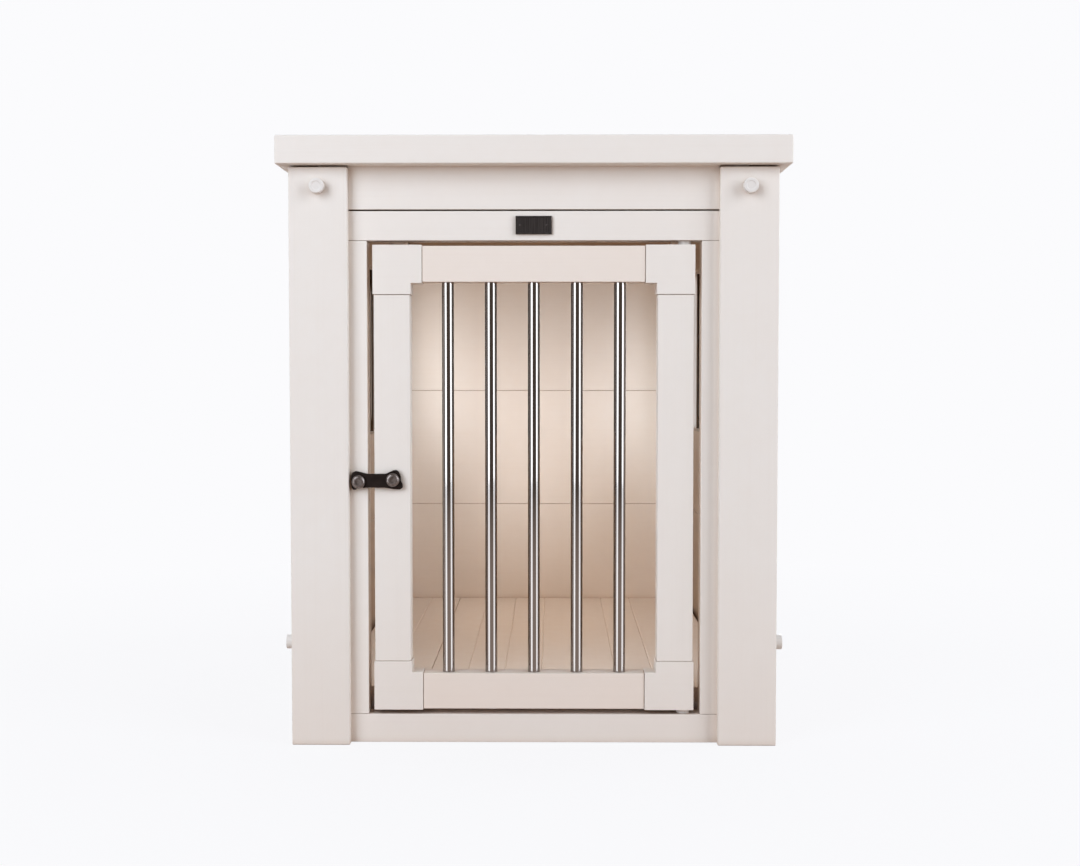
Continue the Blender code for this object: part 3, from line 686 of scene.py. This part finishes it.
def build_flank(word):
    """Rails with a hole for each spindle, the spindles, and the lower panel."""
    grille = f"side_grille_{word}"
    low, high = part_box(grille)
    middle = (low.x + high.x) / 2
    first_low, first_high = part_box("door_spindle_1")
    radius = (first_high.x - first_low.x) / 2
    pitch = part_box("door_spindle_2")[0].x - first_low.x
    places = [(index - (SIDE_SPINDLES - 1) / 2) * pitch for index in range(SIDE_SPINDLES)]
    ends = [((middle, y, low.z), (middle, y, high.z)) for y in places]
    for place in ("middle", "top"):
        node = f"side_rail_{place}_{word}"
        rail_low, rail_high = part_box(node)
        rail = rounded_box(node, rail_low, rail_high, SIDE_ROUND)
        combine(rail, [rods("holes", radius + SPINDLE_CLEAR, ends, UP)])
        white_board(rail, node, CABINET, "side")
    bars = rods(grille, radius, ends, UP, 48)
    bevel_sharp(bars, SPINDLE_ROUND, 2)
    smooth(bars)
    stand_for(bars, grille, CABINET, GRILLE_STEEL_SHADED)
    build_flank_panel(word)


def build_flank_panel(word):
    """Two planks' worth of panel: a V groove at the back's first plank line, in both faces."""
    node = f"side_panel_{word}"
    low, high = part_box(node)
    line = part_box("back_plank_1")[1].z - PLANK_TONGUE
    above, below = line + GROOVE_HALF, line - GROOVE_HALF
    outline = [
        (low.x, low.z), (high.x, low.z), (high.x, below), (high.x - GROOVE_HALF, line),
        (high.x, above), (high.x, high.z), (low.x, high.z), (low.x, above),
        (low.x + GROOVE_HALF, line), (low.x, below),
    ]
    panel = extrusion(node, "Y", outline, low.y, high.y)
    bevel_sharp(panel, GROOVE_ROUND, 2)
    white_board(panel, node, CABINET, "side")


def build_back():
    """Planks with eased edges, so that each joint shows as a fine line, on a rail."""
    for number in BACK_PLANKS:
        build_back_plank(number, number > BACK_PLANKS[0], number < BACK_PLANKS[-1])
    low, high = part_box("back_rail_bottom")
    plank_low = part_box("back_plank_1")[0]
    face = plank_low.y - SEAT_GAP
    seat = plank_low.z - SEAT_GAP
    rail = extrusion(
        "back_rail_bottom", "X",
        [(low.y, low.z), (high.y, low.z), (high.y, seat), (face, seat), (face, high.z),
         (low.y, high.z)],
        low.x, high.x,
    )
    bevel_sharp(rail, BACK_RAIL_ROUND, 3)
    white_board(rail, "back_rail_bottom", CABINET, "X")


def build_back_plank(number, slotted, tongued):
    """A plank with a slot below and a tongue above, each a third of its thickness."""
    key_root = 2 * MM
    key_clear = 0.5 * MM
    node = f"back_plank_{number}"
    low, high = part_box(node)
    third = (high.y - low.y) / 3
    tongue = PLANK_TONGUE if tongued else 0
    plank = rounded_box(node, low, high - Vector((0, 0, tongue)), PLANK_ROUND, 3)
    if tongued:
        key = box_shape("tongue", (low.x + OVERSHOOT, low.y + third, high.z - tongue - key_root),
                        (high.x - OVERSHOOT, high.y - third, high.z - key_clear))
        combine(plank, [key], "UNION")
    if slotted:
        slot = box_shape("slot", (low.x - OVERSHOOT, low.y + third - SEAT_GAP, low.z - OVERSHOOT),
                         (high.x + OVERSHOOT, high.y - third + SEAT_GAP, low.z + PLANK_TONGUE + SEAT_GAP))
        combine(plank, [slot])
    white_board(plank, node, CABINET, "X" if tongued else "back")


def build_floor():
    """Planks that run front to back, with a V groove every quarter plank."""
    centre_low, centre_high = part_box("floor_plank_centre")
    pitch = (centre_high.x - centre_low.x) / 4
    lines = [centre_low.x + pitch * step for step in range(-8, 9)]
    for place in FLOOR_PLANKS:
        build_floor_plank(f"floor_plank_{place}", lines)


def build_floor_plank(node, lines):
    """A plank with the grooves that fall on it, notched round the posts."""
    edge_margin = 4 * MM
    low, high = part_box(node)
    outline = [(low.x, low.z), (high.x, low.z), (high.x, high.z - PLANK_ROUND),
               (high.x - PLANK_ROUND, high.z)]
    for line in reversed(lines):
        if low.x + edge_margin < line < high.x - edge_margin:
            outline += groove(line, high.z, FLOOR_GROOVE_HALF)
    outline += [(low.x + PLANK_ROUND, high.z), (low.x, high.z - PLANK_ROUND)]
    plank = extrusion(node, "Y", outline, low.y, high.y)
    bevel_sharp(plank, GROOVE_ROUND, 2)
    clear = Vector((SEAT_GAP,) * 3)
    posts = [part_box(f"post_{end}_{side}") for end in ("front", "rear") for side in ("left", "right")]
    notches = [
        box_shape("notch", post_low - clear, post_high + clear)
        for post_low, post_high in posts
        if post_low.x - clear.x < high.x and post_high.x + clear.x > low.x
    ]
    combine(plank, notches)
    white_board(plank, node, CABINET, "Y")


def build_thumb_screw(node, direction):
    """A white cap on a neck and a thin stem, with an eased rim and a shallow dish in its face."""
    stem = 2.5 * MM
    cap_length = 7.2 * MM
    neck_length = 1.5 * MM
    dish = 0.5 * MM
    ease = 1.0 * MM
    low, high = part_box(node)
    along = 0 if direction[0] else 1
    across = 1 - along
    radius = (high[across] - low[across]) / 2
    length = high[along] - low[along]
    foot = (low + high) / 2
    foot[along] = low[along] if direction[along] > 0 else high[along]
    neck, dish_rim, dish_floor = radius * 0.72, radius * 0.62, radius * 0.55
    cap_foot = length - cap_length
    neck_foot = cap_foot - neck_length
    profile = [
        (0, 0), (stem, 0), (stem, neck_foot), (neck, neck_foot), (neck, cap_foot),
        (radius, cap_foot), (radius, length), (dish_rim, length), (dish_floor, length - dish),
        (0, length - dish),
    ]
    screw = turned(node, direction, rounded_profile(profile, ease, 5), foot, 64)
    smooth(screw)
    stand_for(screw, node, CABINET, KNOB)


def build_plaque():
    """A plain dark plaque with a raised rim and two round rivets."""
    rim = 1.6 * MM
    rim_height = 0.6 * MM
    backing = 0.9 * MM
    rivet_place = 12.5 * MM
    rivet_radius = 1.5 * MM
    rivet_seat = 1.2 * MM  # behind the rim's face
    root, shoulder, crown = -0.6 * MM, 0.5 * MM, 1.1 * MM  # heights of a rivet's profile
    ease = 0.6 * MM
    low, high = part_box("name_plaque")
    plaque = rounded_box("name_plaque", low + Vector((0, rim_height, 0)), high, METAL_ROUND)
    ring = box_shape("rim", low, high)
    hollow = box_shape("hollow", low + Vector((rim, -OVERSHOOT, rim)), high - Vector((rim, backing, rim)))
    combine(ring, [hollow])
    combine(plaque, [ring], "UNION")
    bevel_sharp(plaque, GROOVE_ROUND, 2)
    middle = (low + high) / 2
    head = rounded_profile([
        (0, root), (rivet_radius, root), (rivet_radius, shoulder), (0, crown),
    ], ease)
    heads = []
    for side in (-1, 1):
        spot = Vector((middle.x + side * rivet_place, low.y + rivet_seat, middle.z))
        heads.append(turned("rivet", (0, -1, 0), head, spot, 24))
    combine(plaque, heads, "UNION")
    smooth(plaque)
    stand_for(plaque, "name_plaque", CABINET, PLAQUE)


# Door ----------------------------------------------------------------------------------------

def build_door_frame():
    """The door's rails with a hole for each spindle, the spindles, and the stiles."""
    spindles = [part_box(f"door_spindle_{number}") for number in range(1, 6)]
    radius = (spindles[0][1].x - spindles[0][0].x) / 2
    middles = [(low + high) / 2 for low, high in spindles]
    bottom, top = spindles[0][0].z, spindles[0][1].z
    ends = [((m.x, m.y, bottom), (m.x, m.y, top)) for m in middles]
    for node in ("door_rail_top", "door_rail_bottom"):
        low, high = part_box(node)
        rail = rounded_box(node, low, high, DOOR_ROUND)
        combine(rail, [rods("holes", radius + SPINDLE_CLEAR, ends, UP)])
        white_board(rail, node, DOOR, "warm")
    for number, (start, end) in enumerate(ends, 1):
        node = f"door_spindle_{number}"
        bar = rods(node, radius, [(start, end)], UP, 64)
        bevel_sharp(bar, SPINDLE_ROUND, 2)
        smooth(bar)
        stand_for(bar, node, DOOR, STEEL)
    for word in ("left", "right"):
        node = f"door_stile_{word}"
        low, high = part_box(node)
        white_board(rounded_box(node, low, high, DOOR_ROUND), node, DOOR, "Z")


def build_corner(up, side):
    """An L-shaped connector: two legs that wrap the ends of a rail and a stile."""
    seam = 0.3 * MM  # between a leg's end and what it covers
    proud = 1.1 * MM  # how far a leg stands past the inner edge of its rail or stile
    height_word = "top" if up > 0 else "bottom"
    side_word = "right" if side > 0 else "left"
    node = f"door_corner_{height_word}_{side_word}"
    low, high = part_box(node)
    rail_low, rail_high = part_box(f"door_rail_{height_word}")
    stile_low, stile_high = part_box(f"door_stile_{side_word}")
    x_out = high.x if side > 0 else low.x
    z_out = high.z if up > 0 else low.z
    x_end = rail_high.x + seam if side > 0 else rail_low.x - seam
    z_end = stile_high.z + seam if up > 0 else stile_low.z - seam
    x_in = (stile_low.x - proud) if side > 0 else (stile_high.x + proud)
    z_in = (rail_low.z - proud) if up > 0 else (rail_high.z + proud)
    outline = [
        (x_out, z_out), (x_end, z_out), (x_end, z_in), (x_in, z_in), (x_in, z_end), (x_out, z_end),
    ]
    corner = extrusion(node, "Y", outline, low.y, high.y)
    bevel_sharp(corner, CORNER_ROUND, 4)
    white_board(corner, node, DOOR, "X")


def build_pins():
    for node in ("hinge_pin_top", "hinge_pin_bottom"):
        low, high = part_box(node)
        middle = (low + high) / 2
        radius = (high.x - low.x) / 2
        ends = [((middle.x, middle.y, low.z), (middle.x, middle.y, high.z))]
        pin = rods(node, radius, ends, UP, 48)
        bevel_sharp(pin, METAL_ROUND, 2)
        smooth(pin)
        stand_for(pin, node, DOOR, STEEL)


# Latch ---------------------------------------------------------------------------------------

def build_stud(node, body):
    """A screw with a washer, a neck, and a wide round head with a hexagon socket."""
    stem, washer, neck = 2.0 * MM, 5.0 * MM, 3.0 * MM  # radii
    washer_depth = 1.2 * MM
    washer_place = 8.8 * MM  # behind the head's face
    head_depth = 4.0 * MM
    slope, slope_depth = 1.6 * MM, 1.4 * MM  # of the head's rim
    ease = 0.7 * MM
    socket_depth = 2.2 * MM
    low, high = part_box(node)
    centre = (low + high) / 2
    radius = (high.x - low.x) / 2
    length = high.y - low.y
    washer_foot = length - washer_place
    head_foot = length - head_depth
    profile = [
        (0, 0), (stem, 0), (stem, washer_foot), (washer, washer_foot),
        (washer, washer_foot + washer_depth), (neck, washer_foot + washer_depth),
        (neck, head_foot), (radius, head_foot), (radius, length - slope_depth),
        (radius - slope, length), (0, length),
    ]
    foot = Vector((centre.x, high.y, centre.z))
    stud = turned(node, (0, -1, 0), rounded_profile(profile, ease, 4), foot, 48)
    hexagon = socket_outline(centre)
    combine(stud, [extrusion("socket", "Y", hexagon, low.y - OVERSHOOT, low.y + socket_depth)])
    smooth(stud, 40)
    stand_for(stud, node, body, SCREW)


def socket_outline(centre):
    """A hexagon about a centre, turned a little, as a screw left at any angle."""
    radius = 3.1 * MM
    turn = 0.4
    angles = [math.tau * i / 6 + turn for i in range(6)]
    return [(centre.x + radius * math.cos(a), centre.z + radius * math.sin(a)) for a in angles]


def link_outline():
    """The link as seen from the front, about its pivot: a bar with a lobed plate at each end."""
    bar_top = 5.7
    bar_bottom = -7.3
    pivot_end = [
        (6.6, -9.1), (9.4, -7.1), (9.1, -4.1), (7.4, -1.0), (7.4, 3.0), (5.6, 7.8), (3.0, 9.6),
        (0.2, 9.0), (-7.1, bar_top),
    ]
    hook_end = [
        (-24.1, bar_top), (-32.8, 7.9), (-35.3, 8.4), (-38.3, 6.9), (-39.4, 4.4), (-39.4, -5.3),
        (-38.8, -7.8), (-37.3, -9.6), (-35.0, -9.2), (-26.2, bar_bottom),
    ]
    points = pivot_end + hook_end + [(-7.1, bar_bottom), (-0.5, -8.6)]
    return [(x * MM, z * MM) for x, z in points]


def slot_outline(seat, neck):
    """An arc slot about the pivot, with a round end over the keeper stud, which lies at seat."""
    sweep = math.radians(24)
    steps = 12
    spacing = seat.length
    drop = math.atan2(-seat.z, -seat.x)
    angles = [math.pi + drop + sweep * i / steps for i in range(steps + 1)]
    slot = [((spacing + neck) * math.cos(a), (spacing + neck) * math.sin(a)) for a in angles]
    slot += [((spacing - neck) * math.cos(a), (spacing - neck) * math.sin(a)) for a in reversed(angles)]
    crown = [drop + math.pi * i / steps for i in range(1, steps)]
    slot += [(seat.x + neck * math.cos(a), seat.z + neck * math.sin(a)) for a in crown]
    return slot


def build_link():
    """A flat plate with a round hole at the pivot and an arc slot, open below, over the stud."""
    neck = 3.3 * MM  # radius of the hole, and half the width of the slot
    ease = 1.0 * MM
    low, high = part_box("latch_link")
    front, rear = low.y - OVERSHOOT, high.y + OVERSHOOT
    door_low, door_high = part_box("latch_stud_door")
    frame_low, frame_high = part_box("latch_stud_frame")
    pivot = (door_low + door_high) / 2
    seat = (frame_low + frame_high) / 2 - pivot
    outline = [(pivot.x + x, pivot.z + z) for x, z in rounded_outline(link_outline(), ease)]
    link = extrusion("latch_link", "Y", outline, low.y, high.y)
    hole_ends = [((pivot.x, front, pivot.z), (pivot.x, rear, pivot.z))]
    hole = rods("pivot_hole", neck, hole_ends, (0, 1, 0))
    slot = [(pivot.x + x, pivot.z + z) for x, z in slot_outline(seat, neck)]
    combine(link, [hole, extrusion("mouth", "Y", slot, front, rear)])
    bevel_sharp(link, METAL_ROUND, 3, 50)
    smooth(link)
    stand_for(link, "latch_link", LATCH, BRONZE)


# Studio --------------------------------------------------------------------------------------

def area_light(name, size, power, colour, position, away):
    """A rectangular light at a place, turned from the direction called away."""
    data = bpy.data.lights.new(name, "AREA")
    data.shape = "RECTANGLE"
    data.size, data.size_y = size
    data.energy = power
    data.color = colour
    light = bpy.data.objects.new(name, data)
    bpy.context.scene.collection.objects.link(light)
    light.location = position
    light.rotation_euler = away.to_track_quat("Z", "Y").to_euler()
    return light


def softbox(name, azimuth, elevation, distance, size, power):
    """A soft light that faces the door; azimuth runs from the camera to its left."""
    azimuth, elevation = math.radians(azimuth), math.radians(elevation)
    level = math.cos(elevation)
    away = Vector((-math.sin(azimuth) * level, -math.cos(azimuth) * level, math.sin(elevation)))
    aim = Vector((0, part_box("door_rail_top")[0].y, 0.3))
    return area_light(name, size, power, KEY_COLOUR, aim + away * distance, away)


def build_softboxes():
    """Two large ones in front, one at each side that metal does not mirror, one behind."""
    softbox("softbox_left", azimuth=42, elevation=14, distance=3.0, size=(1.9, 3.5), power=88)
    softbox("softbox_right", azimuth=-61, elevation=14, distance=3.0, size=(1.8, 3.5), power=78)
    for word, azimuth, power in (("left", 112, 15), ("right", -112, 19)):
        name = f"softbox_side_{word}"
        light = softbox(name, azimuth, elevation=18, distance=2.6, size=(1.4, 1.4), power=power)
        light.visible_glossy = False
    softbox("softbox_back", azimuth=180, elevation=12, distance=2.6, size=(2.4, 1.2), power=40)


def fill(name, position, facing, size, spread, power, colour, receivers):
    """A weak light in the hutch, unseen itself, which only the receivers take."""
    light = area_light(name, size, power, colour, position, -Vector(facing))
    light.data.spread = math.radians(spread)
    light.visible_camera = False
    light.visible_glossy = False
    light.light_linking.receiver_collection = receivers


def receivers_of(name, nodes):
    """A collection of the pieces that stand for these nodes."""
    group = bpy.data.collections.new(name)
    for node in nodes:
        group.objects.link(bpy.data.objects[f"{node}_skin"])
    return group


def build_fills():
    """Fills at the door, over the floor, before the back wall and at the side openings.

    They light the back wall and the floor, or the floor alone.
    """
    boards = [f"floor_plank_{place}" for place in FLOOR_PLANKS]
    planks = [f"back_plank_{number}" for number in BACK_PLANKS]
    cabin = receivers_of("cabin_surfaces", planks + boards)
    floor = receivers_of("cabin_floor", boards)
    fill("door_fill", (0, -0.262, 0.17), facing=(0, 1, 0.25), size=(0.24, 0.16), spread=60,
         power=0.046, colour=DOOR_COLOUR, receivers=cabin)
    fill("sill_fill", (0, -0.20, 0.30), facing=(0, 0.1, -1), size=(0.30, 0.06), spread=110,
         power=0.085, colour=SILL_COLOUR, receivers=floor)
    for word, x, z, power in (("left", -0.168, 0.36, 0.012), ("right", 0.168, 0.30, 0.016)):
        fill(f"{word}_wall_fill", (x, 0.12, z), facing=(0, 1, 0), size=(0.05, 0.18), spread=75,
             power=power, colour=WALL_COLOUR, receivers=cabin)
    opening_middle = 0.378
    opening_height = 0.17
    windows = [
        ("left_fill", -0.19, 0.0, (1, 0, 0), 0.46, 180, 0.190),
        ("right_fill", 0.19, 0.0, (-1, 0, 0), 0.46, 180, 0.065),
        ("left_down_fill", -0.18, -0.08, (0.6, 0.6, -0.5), 0.30, 90, 0.125),
        ("right_down_fill", 0.18, -0.08, (-0.6, 0.6, -0.5), 0.30, 90, 0.072),
    ]
    for name, x, y, facing, width, spread, power in windows:
        position = (x, y, opening_middle)
        fill(name, position, facing, (width, opening_height), spread, power, FILL_COLOUR, cabin)


def build_world():
    """A dim warm room, behind a plain white backdrop that only the camera sees."""
    world = bpy.data.worlds.new("studio")
    bpy.context.scene.world = world
    world.use_nodes = True
    tree = world.node_tree
    tree.nodes.clear()
    room = tree.nodes.new("ShaderNodeBackground")
    room.inputs["Color"].default_value = ROOM
    room.inputs["Strength"].default_value = 0.15
    backdrop = tree.nodes.new("ShaderNodeBackground")
    backdrop.inputs["Color"].default_value = BACKDROP
    path = tree.nodes.new("ShaderNodeLightPath")
    choose = tree.nodes.new("ShaderNodeMixShader")
    output = tree.nodes.new("ShaderNodeOutputWorld")
    tree.links.new(path.outputs["Is Camera Ray"], choose.inputs[0])
    tree.links.new(room.outputs[0], choose.inputs[1])
    tree.links.new(backdrop.outputs[0], choose.inputs[2])
    tree.links.new(choose.outputs[0], output.inputs["Surface"])


def build_floor_stage():
    """A pale floor that fades into the backdrop; it throws warmer light back up at the hutch."""
    shape = bmesh.new()
    bmesh.ops.create_grid(shape, x_segments=1, y_segments=1, size=30)
    stage = new_object("studio_floor", shape)
    stage.data.materials.append(stage_material())


def stage_material():
    """The floor as the camera sees it, as metal mirrors it (a painted glow, brightest near the hutch),
    and as it lights the hutch.
    """
    nodes = Nodes("studio_floor")
    texture = nodes.add("ShaderNodeTexCoord")
    length = nodes.add("ShaderNodeVectorMath", operation="LENGTH")
    nodes.link(texture.outputs["Object"], length.inputs[0])
    radius = length.outputs["Value"]
    pale = nodes.coloured("ShaderNodeBsdfDiffuse", (0.86, 0.86, 0.87, 1))
    backdrop = nodes.coloured("ShaderNodeEmission", BACKDROP)
    seen = nodes.mix_shaders(nodes.span(radius, 0.90, 1.0, 0.35, 1.1), pale, backdrop)
    warm = nodes.coloured("ShaderNodeBsdfDiffuse", (0.32, 0.18, 0.105, 1))
    clear = nodes.add("ShaderNodeBsdfTransparent")
    # Painted reflection: for mirrored rays the floor glows, brightest near the hutch and fading with
    # distance
    reflected_glow = nodes.coloured("ShaderNodeEmission", (1, 0.84, 0.77, 1))
    nodes.link(nodes.span(radius, 1.0, 0.14, 1.2, 3.2), reflected_glow.inputs["Strength"])
    mirrored = nodes.mix_shaders(0.55, reflected_glow, clear)
    path = nodes.add("ShaderNodeLightPath")
    bounced = nodes.mix_shaders(path.outputs["Is Glossy Ray"], warm, mirrored)
    choose = nodes.mix_shaders(path.outputs["Is Camera Ray"], bounced, seen)
    output = nodes.tree.nodes["Material Output"]
    nodes.link(choose.outputs[0], output.inputs["Surface"])
    nodes.tree.nodes.remove(nodes.shader)
    return nodes.material


def build_camera():
    """A camera in front of the posts, aimed a little down."""
    data = bpy.data.cameras.new("camera")
    data.sensor_width = 36
    data.lens = CAMERA_LENS
    camera = bpy.data.objects.new("camera", data)
    bpy.context.scene.collection.objects.link(camera)
    posts_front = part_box("post_front_left")[0].y
    camera.location = (CAMERA_SIDE, posts_front - CAMERA_DISTANCE, CAMERA_HEIGHT)
    camera.rotation_euler = (math.pi / 2 - CAMERA_DOWN, 0, CAMERA_TURN)
    bpy.context.scene.camera = camera


build_camera()
plain_boards()
build_top()
build_front()
for flank in ("left", "right"):
    build_flank(flank)
    build_thumb_screw(f"thumb_screw_front_{flank}", (0, -1, 0))
    build_thumb_screw(f"thumb_screw_side_{flank}", (-1 if flank == "left" else 1, 0, 0))
build_back()
build_floor()
build_plaque()
build_door_frame()
for up in (-1, 1):
    for side in (-1, 1):
        build_corner(up, side)
build_pins()
build_stud("latch_stud_door", DOOR)
build_stud("latch_stud_frame", CABINET)
build_link()
build_softboxes()
build_fills()
build_world()
build_floor_stage()
bpy.context.scene.cycles.diffuse_bounces = 12
bpy.context.scene.view_settings.view_transform = "Standard"
